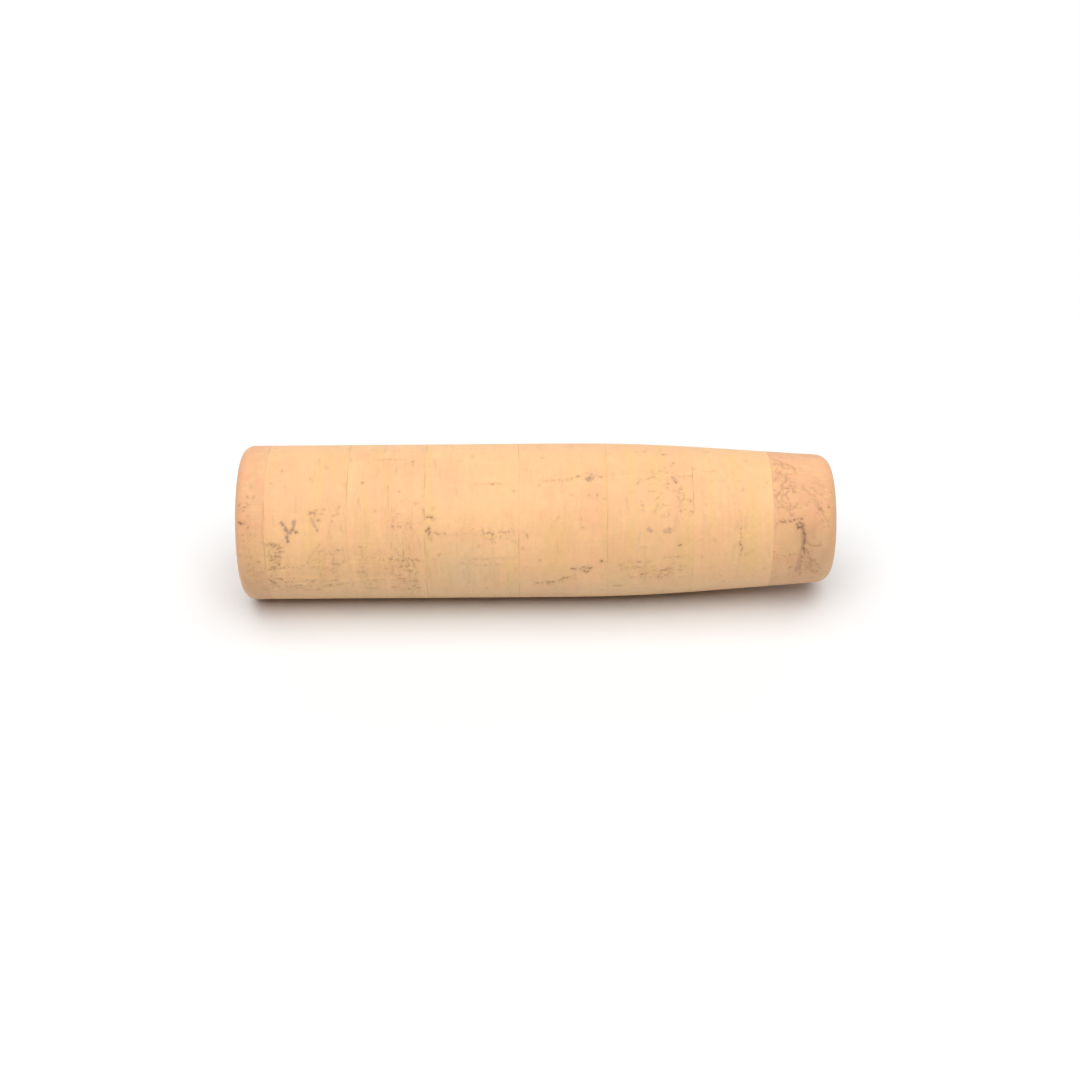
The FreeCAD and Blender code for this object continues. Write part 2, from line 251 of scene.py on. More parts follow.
def drawn_marks():
    """The marks on the side that faces the camera, disc by disc from the butt."""
    rng = np.random.default_rng(7)
    fleck = pencil(width=0.24, depth=0.11, dark=0.66, broken=-0.15)
    small = pencil(width=0.2, depth=0.06, dark=0.46, broken=-0.1)
    hair = pencil(width=0.19, depth=0.03, dark=0.3, broken=0.0)
    faint = pencil(width=0.22, depth=0.02, dark=0.18, broken=0.0)
    gouge = pencil(width=0.30, depth=0.15, dark=0.64, broken=-0.25)
    bruise = pencil(width=0.32, depth=0.03, dark=0.08, stain=0.8, broken=-0.45)
    pale_bruise = pencil(width=0.34, depth=0.02, dark=0.04, stain=0.5, broken=-0.25)
    streak = pencil(width=0.3, pale=0.9, broken=-0.3)
    marks = [
        # butt disc
        small((0.8, 12), (1.2, 9.5), (2.0, 11)),
        fleck((0.6, 0), (1.2, -2), (1.8, -1)),
        hair((4.65, 14), (4.7, -12)),
        # ring 1: a forked bruise, a slanting one beside it, and a broken field of flecks below
        bruise((7.5, -1), (8.0, -4), (8.5, -8)),
        bruise((9.6, 0), (9.4, -4), (8.9, -8)),
        bruise((8.5, -7), (8.3, -11), (8.6, -15)),
        small((8.4, -6), (8.2, -10), (8.5, -15)),
        small((7.3, -1.5), (7.8, -3)),
        fleck((9.7, -7.5), (9.8, -8)),
        pale_bruise((12.3, 1), (12.7, -3), (13.1, -6)),
        hair((12.9, -4), (13.1, -7)),
        faint((12.2, -25), (12.7, -21), (13.4, -16)),
        hair((15.7, 4), (16.4, 5), (16.1, 8), (16.6, 11)),
        faint((15.15, 1), (15.1, -14), (15.2, -24)),
        hair((5.0, -17), (6.5, -18), (5.5, -21)),
        fleck((4.9, -47), (5.5, -50), (5.9, -52)),
        hair((6.2, -49), (6.9, -50)),
        hair((7.4, -50), (8.5, -50)),
        hair((6.7, -60), (7.5, -60)),
        hair((8.1, -60), (8.8, -60)),
        hair((10.4, -60), (11.6, -61)),
        small((12.1, -61), (12.9, -60)),
        small((15.2, -33), (16.3, -33)),
        hair((5.5, 29), (5.7, 28)),
        hair((7.8, 26), (7.9, 25)),
        # ring 2: growth lines with bruised edges, and small flecks low down
        small((17.4, 27), (17.6, 25)),
        hair((22.3, 51), (24.2, 51.5), (26.5, 51)),
        small((26.9, 46), (27.4, 48), (27.9, 49)),
        faint((24.8, 5), (24.7, -16), (24.6, -38)),
        faint((27.9, 0), (27.8, -30), (27.6, -62)),
        hair((27.7, -5), (28.3, -10)),
        hair((25.2, -21), (25.8, -26)),
        hair((23.4, -38), (24.4, -38)),
        small((26.5, -38), (27.5, -39)),
        small((25.8, -50), (26.6, -51)),
        small((27.7, -48), (28.2, -49)),
        small((28.1, -59), (28.7, -59)),
        # ring 3: an angular mark by the seam, and a lenticel channel across the middle
        faint((29.8, 18), (30.8, 22), (31.3, 27)),
        small((29.9, 8), (30.0, 4), (30.1, 2)),
        fleck((30.0, 2), (30.7, 2.5), (31.5, 1)),
        fleck((30.6, -5.5), (30.1, -8), (30.7, -9), (30.6, -12)),
        small((31.6, -9), (32.2, -10), (33.0, -10)),
        faint((33.3, -11), (37.9, -10)),
        small((39.0, -7), (39.1, -11)),
        small((39.6, -10), (40.1, -9.5), (40.6, -11)),
        small((40.4, -16), (40.7, -16)),
        small((42.0, -9), (42.7, -9.5), (43.3, -8.5)),
        hair((43.6, -7), (43.8, -10)),
        faint((37.4, 27), (42.4, 27)),
        small((40.4, 27), (40.7, 27)),
        hair((43.7, 22), (43.9, 21)),
        faint((39.3, -18), (39.2, -49)),
        # ring 4: a dotted channel that ends in a dark mark, and two more low down
        hair((47.9, 29), (50.5, 29.5), (52.8, 30)),
        small((52.6, 31), (53.1, 31)),
        small((53.6, 33), (54.0, 33)),
        hair((54.3, 33), (54.7, 34)),
        pale_bruise((55.2, 30), (55.7, 32), (56.3, 31), (55.8, 29)),
        pale_bruise((56.0, 34), (56.6, 33)),
        hair((55.3, 28), (55.8, 29)),
        small((57.4, 32), (57.6, 32)),
        hair((54.3, 0), (54.45, -4)),
        hair((48.0, -53), (48.7, -52.5)),
        fleck((49.0, -52), (49.9, -52.5)),
        small((50.8, -51), (51.3, -49), (51.6, -48)),
        fleck((51.9, -48), (52.3, -47.5)),
        hair((52.6, -48), (53.6, -48.5)),
        fleck((53.0, -38.5), (53.6, -39)),
        fleck((54.2, -40), (54.4, -40.5)),
        fleck((54.9, -41), (55.3, -41.5), (55.5, -40)),
        small((55.6, -38), (56.0, -37)),
        fleck((57.5, -32), (57.8, -32)),
        # ring 5: many small marks above the middle, two bruised dots, and a broken loop low down
        fleck((67.7, 58), (68.0, 58)),
        small((69.1, 48), (69.2, 47)),
        hair((66.9, 39), (68.4, 37)),
        small((69.4, 35), (69.8, 34)),
        hair((70.6, 34), (71.3, 34.5), (72.0, 34)),
        faint((64.9, 36), (66.6, 36)),
        hair((68.9, 33), (70.2, 33.5)),
        small((72.2, 42), (72.4, 42)),
        hair((65.0, 31), (65.7, 33), (66.3, 31.5)),
        hair((63.3, 27), (63.6, 29), (64.0, 31)),
        hair((68.9, 37), (69.2, 33)),
        small((69.2, 33), (69.0, 30), (69.4, 28)),
        pale_bruise((69.0, 33), (69.3, 29)),
        hair((70.2, 23), (70.6, 17), (70.1, 10), (69.7, 17), (70.2, 23)),
        small((69.9, 8), (70.0, 6)),
        hair((65.9, 4), (66.2, 7), (66.5, 11)),
        faint((67.0, 9), (68.1, 9), (68.1, 2), (67.1, 2)),
        small((71.3, 13), (71.7, 13)),
        small((71.7, 5), (71.8, 4)),
        pale_bruise((64.9, -8), (65.3, -9), (65.2, -10)),
        pale_bruise((67.5, -9), (68.2, -7), (68.7, -9), (68.2, -11), (67.5, -9)),
        fleck((69.7, -20), (70.0, -20)),
        small((66.5, -48), (67.2, -42), (68.4, -40), (68.6, -44), (67.5, -49)),
        fleck((66.5, -48), (67.0, -50)),
        small((63.7, -46), (64.3, -46)),
        hair((60.5, -36), (60.8, -36)),
        hair((62.7, -37), (63.1, -37)),
        hair((65.6, -38), (66.0, -38)),
        hair((70.1, -39), (70.9, -39)),
        small((59.6, -58), (60.9, -59)),
        # ring 6: one crack that follows a growth line
        faint((79.2, 14), (79.3, 3)),
        hair((79.3, 0), (79.4, -3)),
        small((79.45, -7), (79.4, -9)),
        hair((79.4, -12), (79.6, -16), (79.3, -20)),
        hair((79.7, -14), (79.8, -18)),
        small((79.3, -20), (79.7, -25), (79.5, -31)),
        faint((79.5, -32), (79.2, -41), (79.1, -60)),
        faint((78.9, -2), (78.8, -9)),
        # nose ring: a row of dots that runs into a forked crack, and a shorter crack by the edge
        fleck((85.8, -3), (86.0, -3)),
        fleck((86.3, -3.5), (86.6, -3.5)),
        fleck((87.1, -3), (87.4, -3)),
        fleck((87.9, -2), (88.6, -1), (89.3, -2)),
        gouge((88.3, -6), (89.0, -4), (89.5, -7), (88.6, -9)),
        gouge((89.3, -9), (89.6, -14), (89.7, -19)),
        gouge((89.7, -19), (89.5, -25), (89.8, -31)),
        small((89.8, -30), (89.4, -38), (89.2, -48), (89.4, -58)),
        small((89.8, -26), (90.6, -34), (91.0, -40), (90.9, -46), (91.4, -56)),
        small((91.4, -56), (91.8, -57), (92.1, -54)),
        pale_bruise((88.9, -8), (89.3, -14), (89.2, -24), (89.0, -40), (88.8, -52)),
        hair((90.2, -35), (91.1, -45), (91.8, -57)),
        small((91.8, -44), (92.4, -50)),
        small((91.0, 20), (91.8, 12), (92.2, 6), (92.6, 3)),
        hair((92.5, 2), (92.4, -3)),
        small((93.5, 9), (93.7, 9)),
        faint((85.2, 15), (86.0, 9), (86.6, 5)),
        faint((84.8, -10), (85.4, -4)),
        # pale streaks along the barrel on rings 1 and 2, where the cut follows a channel
        streak((12.0, -31), (14.8, -30)),
        streak((12.6, -33), (15.4, -34)),
        streak((18.0, -31), (20.4, -31)),
        streak((21.4, -31), (23.8, -32)),
        streak((19.5, -34), (22.4, -34)),
        streak((25.0, -30), (29.0, -31)),
        streak((26.2, -37), (27.8, -36)),
        streak((5.2, -38), (8.6, -38)),
        streak((9.4, -44), (13.2, -45)),
        streak((60.0, 33), (64.4, 33)),
        streak((68.0, 35), (71.8, 36)),
        streak((2.2, -45), (4.3, -45)),
    ]
    marks += speckles(12.9, 6, 2.2, 8, 14, rng)
    marks += woven(6.3, -20, 2.2, 7, 10, 3, rng, strength=0.66)
    marks += woven(6.1, -30, 2.2, 14, 16, 6, rng, strength=0.6)
    marks += woven(5.8, -46, 1.8, 20, 14, 5, rng, strength=0.6)
    marks += woven(10.0, -56, 6.0, 14, 9, 5, rng, strength=0.5)
    marks += woven(14.5, -38, 6.0, 36, 12, 12, rng, strength=0.36)
    marks += woven(21.0, -42, 6.5, 40, 6, 14, rng, strength=0.34)
    marks += woven(26.4, -35, 4.6, 12, 11, 3, rng, strength=0.5)
    marks += woven(26.4, -53, 4.2, 20, 13, 9, rng, strength=0.5)
    marks += woven(26.4, -8, 3.6, 30, 4, 8, rng, strength=0.32)
    marks += woven(36.0, -42, 12.0, 36, 4, 14, rng, strength=0.24)
    marks += woven(65.5, -42, 11.0, 24, 12, 10, rng, strength=0.38)
    marks += woven(54.0, 18, 7.0, 40, 2, 8, rng, strength=0.22)
    marks += speckles(55.2, -40, 1.6, 5, 12, rng, strength=0.6)
    marks += speckles(50.2, -52.5, 2.0, 4, 10, rng, strength=0.65)
    marks += speckles(47.9, -53, 1.2, 2, 5, rng, strength=0.5)
    marks += speckles(55.6, 31, 1.6, 5, 8, rng, strength=0.55)
    marks += speckles(41.0, -11, 3.0, 6, 10, rng, strength=0.4)
    marks += woven(78.0, 0, 11.0, 80, 2, 8, rng, strength=0.2)
    marks += speckles(2.0, -10, 3.0, 60, 26, rng, strength=0.42)
    marks += woven(2.6, -30, 3.6, 50, 5, 4, rng, strength=0.34)
    marks += crackle(86.7, 40, 2.8, 34, 30, rng, strength=0.34)
    marks += crackle(86.0, 12, 2.0, 22, 12, rng, strength=0.34)
    marks += crackle(90.3, -35, 2.6, 34, 12, rng, strength=0.3)
    marks += crackle(91.6, 14, 2.4, 36, 10, rng, strength=0.3)
    marks += speckles(68.6, 22, 5.0, 26, 20, rng, strength=0.32)
    return marks


# Where the camera side is speckled: from and to along, from and to turn, and how much from 0 to 1
SPECKLED = [
    (0.0, 4.6, -70, 20, 0.5),
    (4.9, 9.5, -70, -18, 1.0),
    (9.5, 17.6, -70, -32, 0.8),
    (17.8, 29.9, -75, -22, 0.9),
    (23.0, 29.9, -22, 12, 0.5),
    (30.0, 44.6, -16, -4, 0.7),
    (44.8, 58.0, 24, 34, 0.5),
    (47.0, 58.0, -62, -38, 0.6),
    (62.0, 72.0, -4, 44, 0.6),
    (62.0, 72.0, -52, -34, 0.7),
    (78.5, 81.0, -60, 10, 0.5),
    (84.8, 95.0, -80, 75, 0.8),
]


SOFT_ALONG, SOFT_TURN = 0.4, 5  # half the width of a patch's soft edge
FREE_SPECKLES = (64, 125)  # the turns, up or down, over which the speckles of the hidden side set in
FREE_MARKS = (70, 130)  # and the scattered marks


def speckling(points):
    """How speckled the cork is at each point, from 0 to 1: as listed on the camera side, freely elsewhere."""
    along, turn = unrolled(points)
    turn = turn + 9 * noise(points, 1.7, 61)
    along = along + 0.9 * noise(points, 2.0, 62)
    amount = ramp(np.abs(turn), *FREE_SPECKLES)
    for start, end, low, high, share in SPECKLED:
        inside = ramp(along, start - SOFT_ALONG, start + SOFT_ALONG)
        inside = inside * (1 - ramp(along, end - SOFT_ALONG, end + SOFT_ALONG))
        inside = inside * ramp(turn, low - SOFT_TURN, low + SOFT_TURN)
        inside = inside * (1 - ramp(turn, high - SOFT_TURN, high + SOFT_TURN))
        amount = np.maximum(amount, share * inside)
    on_end_face = np.abs(np.abs(points[:, 0]) - NOSE) < SAME_PLACE
    return np.where(on_end_face, 1.0, amount)


# Where the tone changes softly on the camera side: along and turn of the middle, half length in mm, half
# height in degrees, then how much lighter (negative is darker), how olive and how pink, each up to 1
TONES = [
    (1.5, 12, 2.2, 16, -0.02, 0.0, 0.5),
    (2.3, -56, 2.6, 26, -0.13, 0.15, 0.0),
    (7.0, 20, 2.6, 18, 0.0, 0.0, 0.4),
    (6.5, -62, 3.4, 14, -0.07, 0.25, 0.0),
    (13.0, -14, 5.0, 12, 0.06, 0.0, 0.0),
    (20.5, -56, 3.5, 16, -0.02, 0.25, 0.0),
    (24.5, 28, 5.5, 24, 0.0, 0.0, 0.5),
    (33.5, 28, 3.5, 20, 0.0, 0.0, 0.5),
    (36.0, -48, 6.0, 24, -0.02, 0.40, 0.0),
    (43.0, -22, 3.0, 14, 0.08, 0.1, 0.0),
    (48.0, -14, 3.0, 8, 0.04, 0.0, 0.0),
    (53.0, -30, 5.5, 14, 0.04, 0.0, 0.2),
    (57.0, 20, 2.6, 24, 0.0, 0.0, 0.5),
    (69.2, 32, 3.0, 22, -0.01, 0.0, 0.5),
    (84.9, 0, 1.1, 70, 0.035, 0.0, 0.0),
    (87.0, 52, 2.6, 18, 0.10, 0.0, 0.2),
    (86.5, 12, 2.2, 20, 0.07, 0.0, 0.0),
    (92.0, 54, 3.0, 18, 0.10, 0.0, 0.0),
    (92.0, 15, 3.0, 24, 0.02, 0.0, 0.6),
    (90.0, -12, 1.6, 10, -0.09, 0.0, 0.2),
    (90.0, -36, 1.5, 22, -0.03, 0.2, 0.2),
    (92.0, -40, 3.0, 26, -0.07, 0.25, 0.0),
    # painted bounce light from the floor: the whole lower side along the barrel a little paler and olive
    (48.0, -70, 70.0, 26, 0.02, 0.36, 0.0),
]


def toning(points):
    """How much lighter, how olive and how pink each point is, as the listed tones say, with painted bounce
    light below.
    """
    along, turn = unrolled(points)
    turn = turn + 6 * noise(points, 3.0, 63)
    along = along + 0.7 * noise(points, 2.4, 64)
    lighter, olive_and_painted_bounce, pinker = (np.zeros(len(points)) for _ in range(3))
    for middle, level, half_length, half_height, light_change, olive_and_bounce_share, pink_share in TONES:
        near = np.exp(-(((along - middle) / half_length) ** 2) - ((turn - level) / half_height) ** 2)
        lighter += near * light_change
        olive_and_painted_bounce = np.maximum(olive_and_painted_bounce, near * olive_and_bounce_share)
        pinker = np.maximum(pinker, near * pink_share)
    return lighter, olive_and_painted_bounce, pinker


def scattered_marks(low, high, seed):
    """Seeded marks all round the barrel from low to high along it, few on the side that faces the camera."""
    rng = np.random.default_rng(seed)
    length = high - low
    marks = []

    def spot(front_share):
        while True:
            at, turn = rng.uniform(low + 0.2, high - 0.2), rng.uniform(-180, 180)
            if rng.uniform() < max(front_share, ramp(abs(turn), *FREE_MARKS)):
                return at, turn

    for _ in range(round(length * 1.1)):
        at, turn = spot(0.0)
        marks += lenticel_row(at, turn, min(rng.uniform(1.0, 7.0), high - at), rng)
    for _ in range(round(length * 12)):
        at, turn = spot(0.12)
        look = dict(width=rng.uniform(0.07, 0.15), depth=rng.uniform(0.02, 0.08))
        look |= dict(dark=rng.uniform(0.15, 0.5))
        marks.append(on_side([(at, turn), (at + rng.normal(0, 0.1), turn + rng.normal(0, 0.8))], **look))
    for _ in range(round(length * 0.5)):
        at, turn = spot(0.0)
        chain = wandering(at, turn, 0, rng.uniform(6, 30), rng, 5)
        marks.append(on_side(chain, width=0.13, depth=0.05, dark=rng.uniform(0.2, 0.6), broken=0.0))
    for _ in range(round(length * 0.3)):
        at, turn = spot(0.0)
        chain = wandering(at, turn, rng.uniform(-0.9, 0.9), rng.uniform(-7, 7), rng, 3)
        look = dict(width=rng.uniform(0.2, 0.4), depth=0.22, dark=0.85, stain=0.4)
        marks.append(on_side(chain, broken=-0.3, **look))
    for _ in range(round(length * 0.2)):
        at, turn = spot(0.0)
        marks += crackle(at, turn, 2.4, 14, 9, rng, strength=0.5)
    return marks


def face_marks(x, inner, outer, seed):
    """Lenticels cut across on an end face, all long in nearly the same direction, and small pits."""
    rng = np.random.default_rng(seed)
    area = math.pi * (outer**2 - inner**2)
    marks = []

    def spot():
        return place(x, rng.uniform(-180, 180), math.sqrt(rng.uniform(inner**2, outer**2)))

    for _ in range(round(area * 0.16)):
        at = spot()
        half = 0.06 + 1.1 * rng.uniform() ** 3
        tilt = rng.normal(0, 0.25)
        reach = np.array([0, math.cos(tilt), math.sin(tilt)]) * half
        bend = np.array([0, 0, rng.normal(0, 0.12)])
        look = dict(width=rng.uniform(0.14, 0.42), dark=rng.uniform(0.3, 0.85))
        look |= dict(broken=rng.uniform(-0.6, -0.1))
        marks.append(Mark([at - reach, at + bend, at + reach], depth=0.3, stain=0.4, **look))
    for _ in range(round(area * 0.8)):
        at = spot()
        chain = [at, at + rng.normal(0, 0.12, 3) * [0, 1, 1]]
        look = dict(width=rng.uniform(0.08, 0.16), dark=rng.uniform(0.2, 0.6))
        marks.append(Mark(chain, depth=0.06, **look))
    return marks


AURA = 0.5  # how far the cork is tanned round a mark
COARSE_BEND, FINE_BEND = 0.15, 0.10  # how far noise bends a chain
CRUMB_EDGE = 0.25  # how softly a mark breaks off where it is eaten away


def press_marks(points, marks, seed):
    """What the marks do at each point: (depth in mm, dark, stain, aura, pale), the last four from 0 to 1."""
    # noise that bends and frays the chains, that eats parts of a mark away, and that varies its width
    coarse = np.stack([noise(points, 0.6, seed + i) for i in range(3)], axis=1)
    fine = np.stack([noise(points, 0.22, seed + 3 + i) for i in range(3)], axis=1)
    bent = points + COARSE_BEND * coarse + FINE_BEND * fine
    crumbs = 0.6 * noise(points, 0.27, seed + 6) + 0.7 * noise(points, 0.16, seed + 7)
    swell = 1 + 0.55 * noise(points, 0.5, seed + 8)
    depth, dark, stain, aura, pale = (np.zeros(len(points)) for _ in range(5))
    for mark in marks:
        chain = np.array(mark.chain)
        middle = chain.mean(axis=0)
        margin = 2 * mark.width + AURA + 0.4
        reach = np.linalg.norm(chain - middle, axis=1).max() + margin
        near = np.flatnonzero(((points - middle) ** 2).sum(axis=1) < reach**2)
        if not len(near):
            continue
        distance = np.full(len(near), np.inf)
        for start, end in zip(chain, chain[1:]):
            way = end - start
            t = np.clip((bent[near] - start) @ way / max(way @ way, 1e-9), 0, 1)
            distance = np.minimum(distance, np.linalg.norm(bent[near] - start - t[:, None] * way, axis=1))
        width = mark.width * swell[near]
        whole = ramp(crumbs[near], mark.broken - CRUMB_EDGE, mark.broken + CRUMB_EDGE)
        core = (1 - ramp(distance, 0.2 * width, width)) * whole
        halo = (1 - ramp(distance, 0.5 * width, 1.3 * width)) * (0.35 + 0.65 * whole)
        depth[near] = np.maximum(depth[near], mark.depth * core)
        dark[near] = np.maximum(dark[near], mark.dark * core)
        stain[near] = np.maximum(stain[near], mark.stain * halo)
        glow = (1 - ramp(distance, 0.0, width + AURA)) * (0.6 + 0.4 * whole)
        aura[near] = np.maximum(aura[near], mark.dark * glow)
        pale[near] = np.maximum(pale[near], mark.pale * core)
    return depth, dark, stain, aura, pale


# ---------------------------------------------------------------- the cork discs


def columns_at(radius):
    """How many cells go round a row of this radius: halved wherever the cells would get too narrow."""
    if radius < 0.1:
        return 1
    count, limit = COLUMNS, OUTLINE[:, 1].max() / 2
    while radius <= limit and count > FEWEST_COLUMNS:
        count //= 2
        limit /= 2
    return count


def rows_between(start, end, step):
    """Evenly spaced (x, radius) points from start to end, without the start."""
    count = max(1, round(math.dist(start, end) / step))
    return [tuple(np.array(start) + (np.array(end) - start) * i / count) for i in range(1, count + 1)]


LIP = 0.05  # how far the extra row beside a glued edge is from it


def disc_path(low, high):
    """One disc's rows of (x, radius, outward x, outward radius, visible), and whether it has a bore."""
    is_butt = bool(low <= BUTT + SAME_PLACE)
    is_nose = bool(high >= NOSE - SAME_PLACE)
    first, last = np.interp([low, high], OUTLINE[:, 0], RUN)
    runs = np.linspace(first, last, round((last - first) / CELL) + 1)
    if not is_butt:
        runs = np.insert(runs, 1, first + LIP)
    if not is_nose:
        runs = np.insert(runs, -1, last - LIP)
    side = on_outline(runs)
    heading = np.gradient(side, runs, axis=0)
    heading /= np.linalg.norm(heading, axis=1)[:, None]
    rows = [(x, r, -dr, dx, True) for (x, r), (dx, dr) in zip(side, heading)]
    start, end = tuple(side[0]), tuple(side[-1])
    bore = 0.0 if is_butt else CORE_RADIUS

    if is_butt:
        face = [(low, 0.0)] + rows_between((low, 0.0), start, CELL)[:-1]
        rows = [(x, r, -1.0, 0.0, True) for x, r in face] + rows
    inward = rows_between(end, (high, bore), CELL if is_nose else HIDDEN_STEP)
    rows += [(x, r, 1.0, 0.0, is_nose) for x, r in inward]
    if not is_butt:
        hidden = rows_between((high, bore), (low, bore), HIDDEN_STEP)
        hidden += rows_between((low, bore), start, HIDDEN_STEP)[:-1]
        rows += [(x, r, 0.0, 0.0, False) for x, r in hidden]
    return rows, not is_butt


def bridge(first, second):
    """Faces between two rows of vertex numbers round the axis. One may be half as long, or a single point."""
    n, m = len(first), len(second)
    if n == m:
        return [(first[i], second[i], second[(i + 1) % n], first[(i + 1) % n]) for i in range(n)]
    if m == 1:
        return [(first[i], second[0], first[(i + 1) % n]) for i in range(n)]
    if n < m:
        return [tuple(reversed(face)) for face in bridge(second, first)]
    faces = []
    for i in range(m):
        a, b, c = first[2 * i], first[2 * i + 1], first[(2 * i + 2) % n]
        d, e = second[i], second[(i + 1) % m]
        faces += [(a, d, b), (b, d, e), (b, e, c)]
    return faces


WAVES = 0.012  # the surface sinks in broad waves, by this on average and by twice this at most
GROOVE = 0.004  # how deep every glued edge is
GLUE_GROOVE = 0.03  # how much deeper it is where the glue line shows most
GLUE_DARK = 0.22  # and how dark it is there


def ends_of(node):
    """Where a node starts and ends on the X axis, in mm."""
    box_low, box_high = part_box(node)
    return box_low.x / MM, box_high.x / MM


def make_disc(node, index, marks):
    """One cork disc as a closed mesh with its pits, cracks and glue-line edges pressed in."""
    low, high = ends_of(node)
    rows, closed = disc_path(low, high)
    points, outward, shown, numbers = [], [], [], []
    for x, radius, out_x, out_radius, visible in rows:
        count = columns_at(radius)
        angle = np.arange(count) * 2 * math.pi / count
        around = np.stack([np.zeros(count), -np.cos(angle), np.sin(angle)], axis=1)
        numbers.append(list(range(len(shown), len(shown) + count)))
        points.append(around * radius + [x, 0, AXIS_HEIGHT])
        outward.append(around * out_radius + [out_x, 0, 0])
        shown += [visible] * count
    points = np.concatenate(points)
    outward = np.concatenate(outward)
    shown = np.array(shown)

    depth, dark, stain, aura, pale = press_marks(points, marks, seed=40 + 10 * index)
    lighter, olive_and_painted_bounce, pinker = toning(points)
    depth += WAVES * (1 + noise(points, 2.6, 900 + index))
    on_side_wall = np.abs(outward[:, 0]) < 0.5
    for end in (low, high):
        if not BUTT + SAME_PLACE < end < NOSE - SAME_PLACE:
            continue
        glue = ramp(noise(points * [0, 1, 1], 2.6, 700 + round(end)), -0.35, 0.75)
        edge = (1 - ramp(np.abs(points[:, 0] - end), 0.02, 0.1)) * on_side_wall
        depth += edge * (GROOVE + GLUE_GROOVE * glue)
        dark = np.maximum(dark, edge * GLUE_DARK * glue)
    points = points - outward * (depth * shown)[:, None]

    faces, smooth = [], []
    pairs = list(zip(range(len(rows)), range(1, len(rows))))
    if closed:
        pairs.append((len(rows) - 1, 0))
    for a, b in pairs:
        new = bridge(numbers[a], numbers[b])
        faces += new
        smooth += [rows[a][4] and rows[b][4]] * len(new)
    looks = dict(dark=dark, stain=stain, aura=aura, pale=pale, speckled=speckling(points))
    looks |= dict(lighter=lighter, olive_and_painted_bounce=olive_and_painted_bounce, pinker=pinker)
    looks = {name: values * shown for name, values in looks.items()}
    return make_mesh(f"{node}_cork", points * MM, faces, smooth, **looks)


def make_mesh(name, points, faces, smooth, **attributes):
    """An object with this mesh, outward-facing, and one float attribute per named array."""
    mesh = bpy.data.meshes.new(name)
    mesh.from_pydata(points.tolist(), [], faces)
    mesh.polygons.foreach_set("use_smooth", smooth)
    for key, values in attributes.items():
        mesh.attributes.new(key, "FLOAT", "POINT").data.foreach_set("value", np.asarray(values, np.float32))
    mesh.update()
    piece = bpy.data.objects.new(name, mesh)
    bpy.context.scene.collection.objects.link(piece)
    return piece


# ---------------------------------------------------------------- materials


class Shade:
    """Short calls for building one material's nodes, in a space measured in millimetres."""

    def __init__(self, name, offset=(0, 0, 0)):
        self.material = bpy.data.materials.new(name)
        self.material.use_nodes = True
        self.tree = self.material.node_tree
        self.shader = self.tree.nodes["Principled BSDF"]
        here = self.node("TexCoord").outputs["Object"]
        self.mm = self.vector("ADD", self.scale(here, 1 / MM), offset)

    def node(self, kind, sockets=(), **settings):
        made = self.tree.nodes.new(f"ShaderNode{kind}")
        for key, value in settings.items():
            setattr(made, key, value)
        for key, value in dict(sockets).items():
            self.plug(value, made.inputs[key])
        return made

    def plug(self, value, socket):
        if isinstance(value, bpy.types.NodeSocket):
            self.tree.links.new(value, socket)
        else:
            socket.default_value = value

    def vector(self, operation, a, b):
        return self.node("VectorMath", {0: a, 1: b}, operation=operation).outputs["Vector"]

    def scale(self, a, factor):
        return self.node("VectorMath", {0: a, "Scale": factor}, operation="SCALE").outputs["Vector"]

    def stretch(self, a, factors):
        return self.vector("MULTIPLY", a, factors)

    def math(self, operation, a, b=0.0):
        return self.node("Math", {0: a, 1: b}, operation=operation).outputs["Value"]

    def noise(self, vector, size, detail=2.0, roughness=0.5):
        """Noise from 0 to 1 whose features are about this many mm across."""
        sockets = {"Vector": vector, "Scale": 1 / size, "Detail": detail, "Roughness": roughness}
        return self.node("TexNoise", sockets).outputs["Fac"]

    def remap(self, value, low, high, to_low=0.0, to_high=1.0):
        sockets = {"Value": value, "From Min": low, "From Max": high, "To Min": to_low, "To Max": to_high}
        return self.node("MapRange", sockets, interpolation_type="SMOOTHSTEP").outputs["Result"]

    def mix(self, factor, a, b):
        """Colour a where the factor is 0 and b where it is 1."""
        made = self.node("Mix", {0: factor, 6: self.colour(a), 7: self.colour(b)}, data_type="RGBA")
        return made.outputs[2]

    @staticmethod
    def colour(value):
        return value if isinstance(value, bpy.types.NodeSocket) else (*value, 1.0)

    def attribute(self, name):
        return self.node("Attribute", attribute_name=name).outputs["Fac"]

    def sum(self, start, *terms):
        """start plus weight * (value - 0.5) for each (value, weight)."""
        total = start
        for value, weight in terms:
            centred = self.math("MULTIPLY", self.math("SUBTRACT", value, 0.5), weight)
            total = self.math("ADD", centred, total)
        return total

    def finish(self, colour, roughness, bump, bump_mm, **shader):
        """Plugs in the colour, roughness and relief, and sets plain values on the shader's other sockets."""
        self.plug(colour, self.shader.inputs["Base Color"])
        self.plug(roughness, self.shader.inputs["Roughness"])
        relief = self.node("Bump", {"Height": bump, "Distance": bump_mm * MM, "Strength": 1.0})
        self.plug(relief.outputs["Normal"], self.shader.inputs["Normal"])
        for key, value in shader.items():
            self.shader.inputs[key.replace("_", " ")].default_value = value
        return self.material


CORK_TAN = (0.770, 0.455, 0.220)
CORK_PINK = (0.770, 0.395, 0.205)
CORK_YELLOW = (0.760, 0.470, 0.190)
CORK_GREY = (0.470, 0.300, 0.160)
# the olive of olive patches and of painted bounce light along the lower side
CORK_OLIVE_AND_BOUNCE = (0.560, 0.470, 0.290)
CORK_SPECK = (0.250, 0.140, 0.060)
CORK_AURA = (0.480, 0.250, 0.120)
CORK_DARK = (0.100, 0.052, 0.026)
CORK_BRUISE = (0.280, 0.165, 0.120)
